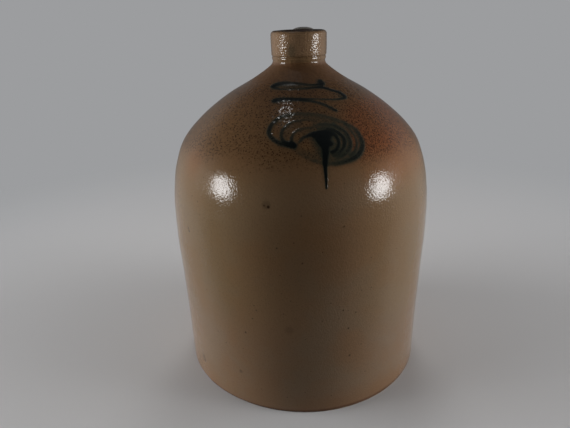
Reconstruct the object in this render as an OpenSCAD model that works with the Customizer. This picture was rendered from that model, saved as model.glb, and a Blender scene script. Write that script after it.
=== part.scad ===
// Two-gallon salt-glazed stoneware jug with a collared mouth and a strap handle.
// Origin at the middle of the foot, +Z up, the decorated front towards -Y, the handle at +Y.

/* [Overall] */
// Height from the table to the top of the lip
jug_h = 304; // [270:1:340]
// Widest diameter of the belly
belly_d = 232.4; // [206:0.2:258]

/* [Thrown wall] */
// Thickness of the wall, square to its surface
wall_t = 9; // [7:0.5:11]
// Thickness of the floor
floor_t = 11; // [8:0.5:15]
// Radius of the cove where the floor meets the wall inside
cove_r = 12; // [7:0.5:18]
// Bevel round the edge of the base
foot_bevel = 1.5; // [0.5:0.1:3]
// Depth of the finger rings left inside the wall
ring_depth = 0.8; // [0.2:0.1:1.4]
// Height of one finger ring
ring_pitch = 24; // [18:1:36]
// Thickness of the dark slip lining
lining_t = 0.8; // [0.4:0.1:1.4]

/* [Neck] */
// Lean of the shoulder away from upright where it meets the neck, in degrees
shoulder_lean = 48; // [42:1:53]
// Radius of the hollow curve between shoulder and neck
flare_r = 5; // [3.5:0.5:6.5]
// Diameter of the neck under the collar
neck_d = 44.6; // [42:0.2:46]
// Height of the bead round the neck
bead_h = 2.4; // [1.6:0.1:3.6]
// How far the bead stands out from the neck
bead_out = 0.8; // [0.4:0.1:1.4]
// Height of the groove between bead and collar
groove_h = 1.4; // [0.8:0.1:2.4]

/* [Collar] */
// How far the collar stands out from the neck
collar_out = 1.3; // [0.9:0.1:3.6]
// Height of the collar
collar_h = 20; // [16:0.5:26]
// Diameter of the mouth
mouth_d = 23; // [20:0.5:25]
// Rounding of the outer edge of the lip
lip_r = 3.2; // [1.6:0.1:4.4]
// Rounding of the inner edge of the lip
mouth_round = 2.2; // [1:0.1:3.2]
// Rounding under the collar
underside_r = 1.2; // [0.5:0.1:2]

/* [Handle] */
// Width of the strap at its crest
strap_w = 23; // [18:0.5:30]
// Thickness of the strap at its crest
strap_t = 11; // [8:0.5:12]
// Width of the strap just above its foot
strap_foot_w = 21; // [16:0.5:28]
// Depth of the finger groove down the back of the strap
strap_groove = 1; // [0.3:0.1:2]
// Height of the strap's root below the lip
root_drop = 11.5; // [9:0.5:13]
// How far the crest stands above the lip
crest_rise = 0.9; // [0.2:0.1:6]
// Distance of the crest out from the collar
crest_run = 26; // [20:0.5:34]
// How far the strap bows out beyond its foot
bow_out = 13; // [8:0.5:24]
// Width of the wiped root on the collar
root_w = 31; // [24:0.5:36]
// Thickness of the wiped root on the collar
root_t = 13; // [10:0.5:15]
// Width of the pressed foot on the shoulder
foot_w = 40; // [32:0.5:50]
// Thickness of the pressed foot on the shoulder
foot_t = 24; // [16:0.5:30]
// Thickness of the slip joint between handle and jug
lute_gap = 0.15; // [0.1:0.05:0.3]

/* [Hidden] */
$fn = 96;

// Colours of the fired clay, the lining and the unglazed base
glaze_tan = [0.49, 0.41, 0.33];
shoulder_brown = [0.38, 0.28, 0.20];
lining_brown = [0.16, 0.09, 0.05];
raw_clay = [0.58, 0.50, 0.41];

// Radii and heights that follow from the sizes above
belly_r = belly_d / 2;
neck_r = neck_d / 2;
collar_r = neck_r + collar_out;
mouth_r = mouth_d / 2;
collar_z = jug_h - collar_h;
bead_z = collar_z - groove_h - bead_h;
flare_out_r = neck_r + flare_r * (1 - cos(shoulder_lean));
flare_z = bead_z - flare_r * sin(shoulder_lean);
throat_clear = lining_t / 2;
throat_r = mouth_r + lining_t + throat_clear;

// Stations of the side: heights as shares of the flare's height, radii as shares of the belly
station_height_shares = [0, 0.18, 0.34, 0.50, 0.63, 0.72, 0.785, 0.85, 0.92, 0.965];
station_radius_shares = [0.971, 0.9765, 0.988, 1, 0.9855, 0.943, 0.8765, 0.735, 0.5107, 0.322];
stations_z = concat([for (s = station_height_shares) s * flare_z], [flare_z]);
stations_r = concat([for (s = station_radius_shares) s * belly_r], [flare_out_r]);
last = len(stations_z) - 1;
steps = 6;

// Chord slope of the side between two stations
function chord(i) = (stations_r[i + 1] - stations_r[i]) / (stations_z[i + 1] - stations_z[i]);
function span(i) = stations_z[i + 1] - stations_z[i];

// Slope of the smooth side at each station
function slope(i) =
    i == 0 ? chord(0) :
    i == last ? -tan(shoulder_lean) :
    (span(i) * chord(i - 1) + span(i - 1) * chord(i)) / (span(i - 1) + span(i));
slopes = [for (i = [0 : last]) slope(i)];

// Smooth curve through the stations: radius and slope at a height within span i
function side_r(i, t) =
    (2 * t ^ 3 - 3 * t ^ 2 + 1) * stations_r[i] + (t ^ 3 - 2 * t ^ 2 + t) * span(i) * slopes[i]
    + (3 * t ^ 2 - 2 * t ^ 3) * stations_r[i + 1] + (t ^ 3 - t ^ 2) * span(i) * slopes[i + 1];
function side_slope(i, t) =
    ((6 * t ^ 2 - 6 * t) * (stations_r[i] - stations_r[i + 1])) / span(i)
    + (3 * t ^ 2 - 4 * t + 1) * slopes[i] + (3 * t ^ 2 - 2 * t) * slopes[i + 1];
function span_of(z, i = 0) = (i >= last - 1 || z <= stations_z[i + 1]) ? i : span_of(z, i + 1);
function share_in(z, i) = (z - stations_z[i]) / span(i);
function outer_r(z) = side_r(span_of(z), share_in(z, span_of(z)));
function outer_slope(z) = side_slope(span_of(z), share_in(z, span_of(z)));

// A point at a depth under the outer surface, square to it, as [radius, height]
function under(z, depth) =
    let (m = outer_slope(z), n = sqrt(1 + m * m))
    [outer_r(z) - depth / n, z + depth * m / n];

// Depth of the inner surface: the wall, less the finger ring there, plus any lining on it
function ring_at(z) = ring_depth * (1 - cos(360 * z / ring_pitch)) / 2;
function inner_depth(z, extra) = wall_t - ring_at(z) + extra;

// Heights at which the side is sampled, between two heights
function side_heights(z0, z1) = concat(
    [z0],
    [for (i = [0 : last - 1], k = [0 : steps - 1])
        let (z = stations_z[i] + span(i) * k / steps) if (z > z0 && z < z1) z],
    [z1]);

// Where the dome was luted on to the wall, and where the neck was drawn up from the dome
seam_z = stations_z[4];
seam_heights_low = side_heights(floor_t, seam_z);
seam_heights_high = side_heights(seam_z, flare_z);

// The cove between floor and wall, for the bare clay or for the lining on it
cove_top_z = floor_t + cove_r;
cove_wall_r = under(cove_top_z, inner_depth(cove_top_z, 0))[0];
cove_points = 8;
function cove(extra) = [for (k = [0 : cove_points])
    let (a = 90 * k / cove_points)
    [cove_wall_r - cove_r + (cove_r - extra) * sin(a), cove_top_z - (cove_r - extra) * cos(a)]];
function inner_side(z0, z1, extra) =
    [for (z = side_heights(z0, z1)) if (z > cove_top_z + lining_t) under(z, inner_depth(z, extra))];

// The throat under the collar, inside and outside
flare_points = 8;
function flare_arc(depth) = [for (k = [0 : flare_points])
    let (a = shoulder_lean * (1 - k / flare_points))
    [neck_r + flare_r - (flare_r + depth) * cos(a), bead_z - (flare_r + depth) * sin(a)]];
throat_depth = inner_depth(flare_z, 0);
function throat_inside(extra) = concat(
    flare_arc(throat_depth + extra), [[throat_r - extra, collar_z]]);

// Round corner as points, from angle a0 to a1 about a centre
corner_points = 6;
function corner(cr, cz, r, a0, a1) = [for (k = [0 : corner_points])
    let (a = a0 + (a1 - a0) * k / corner_points) [cr + r * cos(a), cz + r * sin(a)]];
function reversed(list) = [for (i = [len(list) - 1 : -1 : 0]) list[i]];

// Centre line of the strap in the plane of the handle, as [distance from the axis, height]
root_z = jug_h - root_drop;
crest_y = collar_r + crest_run;
crest_z = jug_h + crest_rise - strap_t / 2;
foot_height_share = 0.865;
foot_z = foot_height_share * flare_z;
foot_y = outer_r(foot_z);
root_pull_shares = [0.42, 0.62];
crest_pull_shares = [0.55, 0.62];
foot_pull_share = 0.62;
root_line = [
    [collar_r, root_z],
    [collar_r + root_pull_shares[0] * crest_run, root_z + root_pull_shares[1] * (crest_z - root_z)],
    [crest_y - crest_pull_shares[0] * crest_run, crest_z],
    [crest_y, crest_z]];
foot_line = [
    [crest_y, crest_z],
    [crest_y + crest_pull_shares[1] * (foot_y + bow_out - crest_y), crest_z],
    [foot_y + bow_out, foot_z + foot_pull_share * (crest_z - foot_z)],
    [foot_y, foot_z]];
function bezier(p, t) = (1 - t) ^ 3 * p[0] + 3 * t * (1 - t) ^ 2 * p[1]
    + 3 * t ^ 2 * (1 - t) * p[2] + t ^ 3 * p[3];
function bezier_way(p, t) =
    (1 - t) ^ 2 * (p[1] - p[0]) + 2 * t * (1 - t) * (p[2] - p[1]) + t ^ 2 * (p[3] - p[2]);
function unit(v) = v / norm(v);

// Rings of the strap: centre, direction, half width, half thickness and groove depth.
// The crest is rounded, and the groove deepens over the first rings behind it.
root_rings = 10;
foot_rings = 26;
root_own = 4;
foot_own = 7;
groove_run = 8;
function root_share(i) = max(0, 1 - i / root_own) ^ 2;
function foot_share(i) = max(0, 1 - (foot_rings - i) / foot_own) ^ 2;
function mix(a, b, s) = a + (b - a) * s;
function root_ring(i) =
    let (t = i / root_rings, s = root_share(i))
    [bezier(root_line, t), unit(bezier_way(root_line, t)), mix(strap_w, root_w, s) / 2,
     mix(strap_t, root_t, s) / 2, 0];
function foot_ring(i) =
    let (t = i / foot_rings, s = foot_share(i), w = mix(strap_w, strap_foot_w, t))
    [bezier(foot_line, t), unit(bezier_way(foot_line, t)), mix(w, foot_w, s) / 2,
     mix(strap_t, foot_t, s) / 2, strap_groove * (1 - s) * min(1, i / groove_run)];
function moved(ring, d) = [ring[0] + d * ring[1], ring[1], ring[2], ring[3], ring[4]];

// Outline of one ring in space: a flattened round, with the groove along its outer face
ring_sides = 24;
squareness = 0.86;
groove_half = 0.55;
function powered(v) = sign(v) * abs(v) ^ squareness;
function groove_at(s) = abs(s) < groove_half ? (1 + cos(180 * s / groove_half)) / 2 : 0;
function ring_points(ring) = [for (k = [0 : ring_sides - 1])
    let (a = 360 * k / ring_sides,
         across = powered(cos(a)),
         out = ring[3] * powered(sin(a)) - (sin(a) > 0 ? ring[4] * groove_at(across) : 0))
    [ring[2] * across,
     ring[0][0] - ring[1][1] * out,
     ring[0][1] + ring[1][0] * out]];

// Closed skin over a row of rings
module swept(rings) {
    count = len(rings);
    points = [for (ring = rings) each ring_points(ring)];
    sides = [for (i = [0 : count - 2], k = [0 : ring_sides - 1])
        let (n = (k + 1) % ring_sides, a = i * ring_sides, b = a + ring_sides)
        each [[a + k, b + k, b + n], [a + k, b + n, a + n]]];
    first_cap = [for (k = [0 : ring_sides - 1]) k];
    last_cap = [for (k = [ring_sides - 1 : -1 : 0]) (count - 1) * ring_sides + k];
    polyhedron(points, concat(sides, [first_cap, last_cap]), convexity = 6);
}

// Flat round slab of clay, cut from the wheel with a wire and bevelled at its edge
module base_floor() {
    color(raw_clay) rotate_extrude() polygon([
        [0, 0],
        [outer_r(0) - foot_bevel, 0],
        [outer_r(foot_bevel), foot_bevel],
        [outer_r(floor_t), floor_t],
        [0, floor_t]]);
}

// Thrown side, from the floor to the seam under the shoulder
module body_wall() {
    outside = [for (z = seam_heights_low) [outer_r(z), z]];
    inside = concat(cove(0), inner_side(floor_t, seam_z, 0));
    color(glaze_tan) rotate_extrude() polygon(concat(outside, reversed(inside)));
}

// Dome of the shoulder, from the seam to the root of the neck
module shoulder_dome() {
    outside = [for (z = seam_heights_high) [outer_r(z), z]];
    inside = inner_side(seam_z, flare_z, 0);
    color(shoulder_brown) rotate_extrude() polygon(concat(outside, reversed(inside)));
}

// Hollow curve up to the neck, with the bead and the groove under the collar
module neck_throat() {
    bead = [for (k = [0 : corner_points])
        let (a = 180 * k / corner_points - 90)
        [neck_r + bead_out * cos(a), bead_z + bead_h * (1 + sin(a)) / 2]];
    outside = concat(flare_arc(0), bead, [[neck_r, collar_z]]);
    color(shoulder_brown) rotate_extrude() polygon(concat(outside, reversed(throat_inside(0))));
}

// Thick straight collar with a rounded lip and the round mouth through it
module collar_lip() {
    color(shoulder_brown) rotate_extrude() polygon(concat(
        [[mouth_r, collar_z]],
        corner(collar_r - underside_r, collar_z + underside_r, underside_r, -90, 0),
        corner(collar_r - lip_r, jug_h - lip_r, lip_r, 0, 90),
        corner(mouth_r + mouth_round, jug_h - mouth_round, mouth_round, 90, 180)));
}

// Thin fired skin of dark slip over the whole inside, from the floor to under the collar
module slip_lining() {
    on_clay = concat([[0, floor_t]], cove(0), inner_side(floor_t, flare_z, 0), throat_inside(0));
    on_inside = concat([[0, floor_t + lining_t]], cove(lining_t),
        inner_side(floor_t, flare_z, lining_t), throat_inside(lining_t));
    color(lining_brown) rotate_extrude() polygon(concat(on_clay, reversed(on_inside)));
}

// Pulled strap between its two ends, grooved by a finger down its back
module strap_handle() {
    color(shoulder_brown) swept(concat(
        [for (i = [root_own : root_rings - 1]) root_ring(i)],
        [for (i = [0 : foot_rings - foot_own]) foot_ring(i)]));
}

// End of the strap wiped on to the back of the collar
module handle_root() {
    color(shoulder_brown) difference() {
        swept(concat([moved(root_ring(0), -root_t / 2)], [for (i = [0 : root_own]) root_ring(i)]));
        translate([0, 0, bead_z]) cylinder(h = jug_h - bead_z, r = collar_r + lute_gap);
    }
}

// End of the strap pressed and wiped on to the shoulder
module handle_foot() {
    low_z = foot_z - foot_w;
    high_z = foot_z + foot_w / 2;
    skin = [for (z = side_heights(low_z, high_z)) under(z, -lute_gap)];
    color(shoulder_brown) difference() {
        swept(concat([for (i = [foot_rings - foot_own : foot_rings]) foot_ring(i)],
            [moved(foot_ring(foot_rings), foot_t / 2)]));
        rotate_extrude() polygon(concat([[0, skin[0][1]]], skin, [[0, skin[len(skin) - 1][1]]]));
    }
}

base_floor();
body_wall();
shoulder_dome();
neck_throat();
collar_lip();
slip_lining();
strap_handle();
handle_root();
handle_foot();
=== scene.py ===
"""Looks of the salt-glazed stoneware jug: hand-made skins, trailed slip, glaze and a studio.

Lengths are millimetres, as in the CAD source, and turn into metres when a mesh is made. Lamps and
the camera are in metres. Azimuth 0 is the decorated front (-Y), and azimuths grow towards +X.
"""

import math

import bmesh
import bpy
import numpy as np
from mathutils import Matrix, Vector


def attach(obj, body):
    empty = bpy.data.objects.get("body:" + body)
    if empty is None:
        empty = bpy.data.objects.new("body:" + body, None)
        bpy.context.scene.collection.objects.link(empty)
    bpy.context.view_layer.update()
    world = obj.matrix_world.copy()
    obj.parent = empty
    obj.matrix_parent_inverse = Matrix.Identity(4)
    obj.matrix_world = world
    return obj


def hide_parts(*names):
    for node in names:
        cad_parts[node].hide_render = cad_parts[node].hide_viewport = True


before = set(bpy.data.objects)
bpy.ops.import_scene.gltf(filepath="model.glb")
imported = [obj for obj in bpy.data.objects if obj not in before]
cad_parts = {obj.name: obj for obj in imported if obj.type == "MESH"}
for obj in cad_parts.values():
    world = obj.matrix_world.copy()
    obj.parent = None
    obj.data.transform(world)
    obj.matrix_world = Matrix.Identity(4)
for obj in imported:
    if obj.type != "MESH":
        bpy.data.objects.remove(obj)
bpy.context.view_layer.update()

MM = 0.001

# Sizes of the jug, as in the CAD source
JUG_H = 304.0
BELLY_R = 116.2
WALL_T = 9.0
FLOOR_T = 11.0
COVE_R = 12.0
FOOT_BEVEL = 1.5
RING_DEPTH = 0.8
RING_PITCH = 24.0
LEAN_DEGREES = 48
SHOULDER_LEAN = math.radians(LEAN_DEGREES)
FLARE_R = 5.0
NECK_R = 22.3
BEAD_H = 2.4
BEAD_OUT = 0.8
GROOVE_H = 1.4
COLLAR_R = 23.6
COLLAR_H = 20.0
MOUTH_R = 11.5
LIP_R = 3.2
MOUTH_ROUND = 2.2
UNDERSIDE_R = 1.2
THROAT_R = 12.7
STRAP_W = 23.0
STRAP_T = 11.0
STRAP_FOOT_W = 21.0
STRAP_GROOVE = 1.0
ROOT_DROP = 11.5
CREST_RISE = 0.9
CREST_RUN = 26.0
BOW_OUT = 13.0
ROOT_W = 31.0
ROOT_T = 13.0
FOOT_W = 40.0
FOOT_T = 24.0
COLLAR_Z = JUG_H - COLLAR_H
BEAD_Z = COLLAR_Z - GROOVE_H - BEAD_H
FLARE_OUT_R = NECK_R + FLARE_R * (1 - math.cos(SHOULDER_LEAN))
FLARE_Z = BEAD_Z - FLARE_R * math.sin(SHOULDER_LEAN)

# Stations of the side, as shares of the flare's height and of the belly's radius
STATION_Z = np.array([0, 0.18, 0.34, 0.50, 0.63, 0.72, 0.785, 0.85, 0.92, 0.965, 1]) * FLARE_Z
STATION_R = np.append(
    np.array([0.971, 0.9765, 0.988, 1, 0.9855, 0.943, 0.8765, 0.735, 0.5107, 0.322]) * BELLY_R,
    FLARE_OUT_R,
)
SEAM_Z = float(STATION_Z[4])


def station_slopes():
    """Slope of the side at each station."""
    span = np.diff(STATION_Z)
    chord = np.diff(STATION_R) / span
    inner = (span[1:] * chord[:-1] + span[:-1] * chord[1:]) / (span[:-1] + span[1:])
    return np.concatenate([[chord[0]], inner, [-math.tan(SHOULDER_LEAN)]])


STATION_SLOPE = station_slopes()


def side(z):
    """Radius and slope of the outer side at heights z."""
    z = np.asarray(z, float)
    i = np.clip(np.searchsorted(STATION_Z, z) - 1, 0, len(STATION_Z) - 2)
    h = STATION_Z[i + 1] - STATION_Z[i]
    t = (z - STATION_Z[i]) / h
    r0, r1, m0, m1 = STATION_R[i], STATION_R[i + 1], STATION_SLOPE[i], STATION_SLOPE[i + 1]
    radius = (
        (2 * t**3 - 3 * t**2 + 1) * r0
        + (t**3 - 2 * t**2 + t) * h * m0
        + (3 * t**2 - 2 * t**3) * r1
        + (t**3 - t**2) * h * m1
    )
    slope = (
        (6 * t**2 - 6 * t) * (r0 - r1) / h + (3 * t**2 - 4 * t + 1) * m0 + (3 * t**2 - 2 * t) * m1
    )
    return radius, slope


def side_normal(z):
    """Outward direction of the side as (radial part, height part)."""
    slope = side(z)[1]
    length = np.sqrt(1 + slope**2)
    return 1 / length, -slope / length


def even_heights(z0, z1, pitch):
    """Heights between z0 and z1 that lie about pitch apart along the outer side."""
    fine = np.linspace(z0, z1, 2000)
    radius = side(fine)[0]
    along = np.concatenate([[0], np.cumsum(np.hypot(np.diff(fine), np.diff(radius)))])
    count = max(2, int(round(along[-1] / pitch)) + 1)
    return np.interp(np.linspace(0, along[-1], count), along, fine)


def smooth(low, high, value):
    """0 below low, 1 above high and a soft step between."""
    t = np.clip((np.asarray(value, float) - low) / (high - low), 0, 1)
    return t * t * (3 - 2 * t)


# Unevenness that the potter's hands left on the side
OVAL = 0.15
THROWN_RING = 0.03
THROWN_PITCH = 15.5
LUMP = 0.04
PRESSED_AT = (118, 96)
PRESSED_SPREAD = (16, 34)
PRESSED_DEPTH = 0.35
NECK_LEAN = 1.3
LEAN_Z = (246, 286)


def wear(azimuth, z):
    """How far the thrower's hands left the surface from a true round, in mm; never outside it."""
    a = np.radians(azimuth)
    fade = 1 - 0.6 * smooth(240, 272, z)
    oval = -OVAL * (1 + np.cos(2 * a))
    turn = z * 2 * np.pi / THROWN_PITCH + (a + z * 0.02) + 0.6 * np.sin(z * 0.045)
    rings = -THROWN_RING * (1 + np.sin(turn))
    lumps = -LUMP * (1 + np.sin(3 * a + z * 0.031) * np.sin(z * 0.052 + 1.3 + np.sin(2 * a)))
    across = (azimuth - PRESSED_AT[0]) / PRESSED_SPREAD[0]
    along = (z - PRESSED_AT[1]) / PRESSED_SPREAD[1]
    press = -PRESSED_DEPTH * np.exp(-(across**2) - along**2)
    return (oval + rings + lumps + press) * fade


def lean(z):
    """How far the neck leans towards +X, in mm."""
    return NECK_LEAN * smooth(*LEAN_Z, z)


def leaning(points):
    """Points moved sideways with the lean of the neck."""
    moved = np.array(points, float)
    moved[..., 0] += lean(moved[..., 2])
    return moved


def around(azimuth, radius, z):
    """Points at azimuths (degrees), radii and heights, as an array of x, y, z in mm."""
    a, radius, z = np.broadcast_arrays(np.radians(azimuth), radius, z)
    return np.stack([radius * np.sin(a), -radius * np.cos(a), z], -1)


def on_side(azimuth, z, lift=0.0):
    """Points of the worn outer side, lifted square to it."""
    radius = side(z)[0]
    nr, nz = side_normal(z)
    out = wear(azimuth, z) + lift
    return leaning(around(azimuth, radius + nr * out, z + nz * out))


# ---- meshes ----


def new_object(name, data):
    """An object in the scene."""
    obj = bpy.data.objects.new(name, data)
    bpy.context.scene.collection.objects.link(obj)
    return obj


def make_object(name, points, faces):
    """A smooth-shaded mesh object from points in mm."""
    mesh = bpy.data.meshes.new(name)
    mesh.from_pydata((np.asarray(points) * MM).tolist(), [], faces)
    mesh.polygons.foreach_set("use_smooth", [True] * len(mesh.polygons))
    mesh.update()
    return new_object(name, mesh)


def quads(*corners):
    """Faces from equal arrays that hold the numbers of their corners."""
    return np.stack(corners, -1).reshape(-1, 4).tolist()


def numbered(rows, columns):
    """Numbers of points in rows that go round, and of their neighbours in the row."""
    number = np.arange(rows * columns).reshape(rows, columns)
    return number, np.roll(number, -1, 1)


def band_faces(rows, columns):
    """Faces between neighbouring rows of points that go round."""
    number, beside = numbered(rows, columns)
    return quads(number[:-1], number[1:], beside[1:], beside[:-1])


def lathe(name, profile, outer_rows):
    """Closed skin of revolution over an array (rows, columns, 3) whose rows go round in a loop.

    The first outer_rows rows are the outer side, shaded as one smooth sheet.
    """
    rows, columns = profile.shape[:2]
    number, beside = numbered(rows, columns)
    faces = quads(number, beside, np.roll(beside, -1, 0), np.roll(number, -1, 0))
    obj = make_object(name, profile.reshape(-1, 3), faces)
    outer = profile[:outer_rows]
    along_row = np.roll(outer, -1, 1) - np.roll(outer, 1, 1)
    along_column = np.gradient(outer, axis=0, edge_order=2)
    normals = np.cross(along_row, along_column)
    normals /= np.linalg.norm(normals, axis=2)[..., None]
    corners = np.ravel(faces)
    covered = (outer_rows - 1) * columns * 4
    chosen = np.zeros((len(corners), 3))
    chosen[:covered] = normals.reshape(-1, 3)[corners[:covered]]
    obj.data.normals_split_custom_set(chosen.tolist())
    return obj


def weld(obj):
    """Joins points that lie at one place and drops the faces that this closes up."""
    bm = bmesh.new()
    bm.from_mesh(obj.data)
    bmesh.ops.remove_doubles(bm, verts=bm.verts, dist=1e-7)
    bmesh.ops.dissolve_degenerate(bm, edges=bm.edges, dist=1e-8)
    bm.to_mesh(obj.data)
    bm.free()


def wall_depth(z):
    """Thickness of the clay under outer heights z: the wall, less the finger ring inside it."""
    return WALL_T - RING_DEPTH * (1 - np.cos(2 * np.pi * z / RING_PITCH)) / 2


def inner_profile(heights):
    """Radii and heights of the clay's inner surface under outer heights."""
    depth = wall_depth(heights)
    nr, nz = side_normal(heights)
    return side(heights)[0] - nr * depth, heights - nz * depth


def ring_grid(azimuths, radii, heights):
    """Plain rows of revolution as an array (rows, columns, 3)."""
    return around(azimuths, np.asarray(radii)[:, None], np.asarray(heights)[:, None])


def quarter(centre_r, centre_z, radius, start, end, count):
    """Rounded corner as radii and heights, between two angles in degrees."""
    a = np.radians(np.linspace(start, end, count))
    return np.stack([centre_r + radius * np.cos(a), centre_z + radius * np.sin(a)], 1)


def columns_of(step):
    """Azimuths round the whole jug, as one row."""
    return np.arange(-180, 180, step)[None, :]


# Bevel of the foot, in shares of FOOT_BEVEL: its mean, its swing round the jug and its limits
BEVEL_MEAN, BEVEL_SWING, BEVEL_PHASE = 0.95, 2.4, 1.675
BEVEL_LIMITS = (0.12, 1.75)
# Arcs that the cutting wire left on the underside
WIRE_CENTRE = (-170, -60)
WIRE_PITCH = 8.5
WIRE_DEPTH = 0.32


def build_base():
    """Slab of the base: worn foot, bare underside with the arcs of the cutting wire."""
    azimuths = columns_of(1.5)
    swing = np.cos(np.radians(azimuths) + BEVEL_PHASE)
    bevel = FOOT_BEVEL * np.clip(BEVEL_MEAN + BEVEL_SWING * swing, *BEVEL_LIMITS)
    edge_z = np.array([0, 0.12, 0.3, 0.6, 1.0, 1.5, 2.2, 3.2, 4.6, 6.4, 8.6, FLOOR_T])[:, None]
    share = np.clip(edge_z / (bevel + 0.4), 0, 1)
    inset = bevel * (1 - np.sqrt(1 - (1 - share) ** 2))
    edge = around(azimuths, side(edge_z)[0] + wear(azimuths, edge_z) - inset, edge_z)
    top = ring_grid(azimuths, [side(FLOOR_T)[0] - 4, 60, 2], [FLOOR_T] * 3)
    radii = np.linspace(2, side(0)[0] - 3, 62)
    under = ring_grid(azimuths, radii, np.zeros(len(radii)))
    x, y = under[..., 0], under[..., 1]
    far = np.hypot(x - WIRE_CENTRE[0], y - WIRE_CENTRE[1])
    arcs = 0.5 + 0.5 * np.sin(far * 2 * np.pi / WIRE_PITCH + 0.8 * np.sin(y * 0.06))
    under[..., 2] = WIRE_DEPTH * arcs**1.5 * (1 - smooth(100, 108, np.hypot(x, y)))
    top[-1] = [0, 0, FLOOR_T]
    under[0] = [0, 0, 0.15]
    obj = lathe("base_slab", np.concatenate([edge, top, under]), len(edge_z))
    weld(obj)
    return obj


def build_wall():
    """Thrown side from the floor to the seam."""
    azimuths = columns_of(1.25)
    heights = even_heights(FLOOR_T, SEAM_Z, 2.2)
    outer = on_side(azimuths, heights[:, None])
    inner_z = np.linspace(SEAM_Z, FLOOR_T + COVE_R + 1, 32)
    radii, low = inner_profile(inner_z)
    wall_r = inner_profile(np.array([FLOOR_T + COVE_R]))[0][0]
    cove = quarter(wall_r - COVE_R, FLOOR_T + COVE_R, COVE_R, 0, -90, 8)
    inner_r, inner_h = np.append(radii, cove[:, 0]), np.append(low, cove[:, 1])
    inner = ring_grid(azimuths, inner_r, inner_h)
    return lathe("wall_skin", np.concatenate([outer, inner]), len(heights))


def build_shoulder():
    """Dome of the shoulder, from the seam to the root of the neck."""
    azimuths = columns_of(1.0)
    heights = even_heights(SEAM_Z, FLARE_Z, 1.5)
    outer = on_side(azimuths, heights[:, None])
    radii, low = inner_profile(np.linspace(FLARE_Z, SEAM_Z, 28))
    inner = ring_grid(azimuths, radii, low)
    return lathe("shoulder_skin", np.concatenate([outer, inner]), len(heights))


def neck_rows():
    """Outer radii and heights of the neck: its flare and the soft bead under the collar."""
    flare = quarter(NECK_R + FLARE_R, BEAD_Z, FLARE_R, 180 + LEAN_DEGREES, 180, 15)
    climb = np.linspace(0, 1, 17)[1:]
    swell = NECK_R + BEAD_OUT * (0.7 * smooth(0, 0.45, climb) - 0.3 * smooth(0.6, 1, climb))
    bead = np.stack([swell, BEAD_Z + (COLLAR_Z - BEAD_Z) * climb], 1)
    return np.concatenate([flare, bead])


def build_neck():
    """Hollow curve up to the neck, with the soft bead under the collar."""
    azimuths = columns_of(2.5)
    rows = neck_rows()
    radii, heights = rows[:, :1], rows[:, 1:]
    level = smooth(FLARE_Z, FLARE_Z + 3.5, heights)
    nr, nz = side_normal(FLARE_Z - 0.01)
    out = wear(azimuths, np.minimum(heights, FLARE_Z)) * (1 - 0.6 * level)
    outer_r = radii + (nr + (1 - nr) * level) * out
    outer = leaning(around(azimuths, outer_r, heights + nz * (1 - level) * out))
    arc = FLARE_R + wall_depth(FLARE_Z)
    under = quarter(NECK_R + FLARE_R, BEAD_Z, arc, 180, 180 + LEAN_DEGREES, 9)
    inner = ring_grid(azimuths, np.append(THROAT_R, under[:, 0]), np.append(COLLAR_Z, under[:, 1]))
    return lathe("neck_skin", np.concatenate([outer, inner]), len(rows))


def straight(radius, heights):
    """Straight wall as radii and heights."""
    return np.stack([np.full(len(heights), radius), heights], 1)


FLAT_EASE = 2.2
COLLAR_FLOOR_R = 17.0
COLLAR_TAPER = 0.2


def build_collar():
    """Thick straight collar with its rounded lip and mouth."""
    azimuths = columns_of(2.0)
    low, high = COLLAR_Z + UNDERSIDE_R, JUG_H - LIP_R
    rim_r = MOUTH_R + MOUTH_ROUND
    rows = np.concatenate([
        quarter(COLLAR_R - UNDERSIDE_R, low, UNDERSIDE_R, -90, 0, 6),
        straight(COLLAR_R, np.linspace(low, high, 14)[1:-1]),
        quarter(COLLAR_R - LIP_R, high, LIP_R, 0, 90, 10),
        [[COLLAR_R - LIP_R - FLAT_EASE, JUG_H], [rim_r + FLAT_EASE, JUG_H]],
        quarter(rim_r, JUG_H - MOUTH_ROUND, MOUTH_ROUND, 90, 180, 8),
        straight(MOUTH_R, np.linspace(JUG_H - MOUTH_ROUND, COLLAR_Z, 8)[1:]),
        [[COLLAR_FLOOR_R, COLLAR_Z]],
    ])
    a = np.radians(azimuths)
    radii, z = rows[:, :1], rows[:, 1:]
    outside = smooth(17, 22, radii)
    dent = -0.06 * (1 + np.sin(2 * a + 0.7)) - 0.05 * (1 + np.sin(5 * a + z * 0.4))
    taper = -COLLAR_TAPER * smooth(JUG_H - 8, COLLAR_Z, z)
    dip = 0.12 * (np.sin(2 * a + 2.1) - 1) + 0.05 * (np.sin(7 * a) - 1)
    skin = around(azimuths, radii + (dent + taper) * outside, z + smooth(JUG_H - 3, JUG_H, z) * dip)
    skin[..., 0] += lean(skin[..., 2]) * outside
    return lathe("collar_skin", skin, len(rows) - 1)


# ---- handle ----


def bezier(p, t):
    """Point and unit direction of a cubic curve at t."""
    t = np.asarray(t, float)[:, None]
    u = 1 - t
    point = u**3 * p[0] + 3 * t * u**2 * p[1] + 3 * t**2 * u * p[2] + t**3 * p[3]
    way = u**2 * (p[1] - p[0]) + 2 * t * u * (p[2] - p[1]) + t**2 * (p[3] - p[2])
    return point, way / np.linalg.norm(way, axis=1)[:, None]


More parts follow.
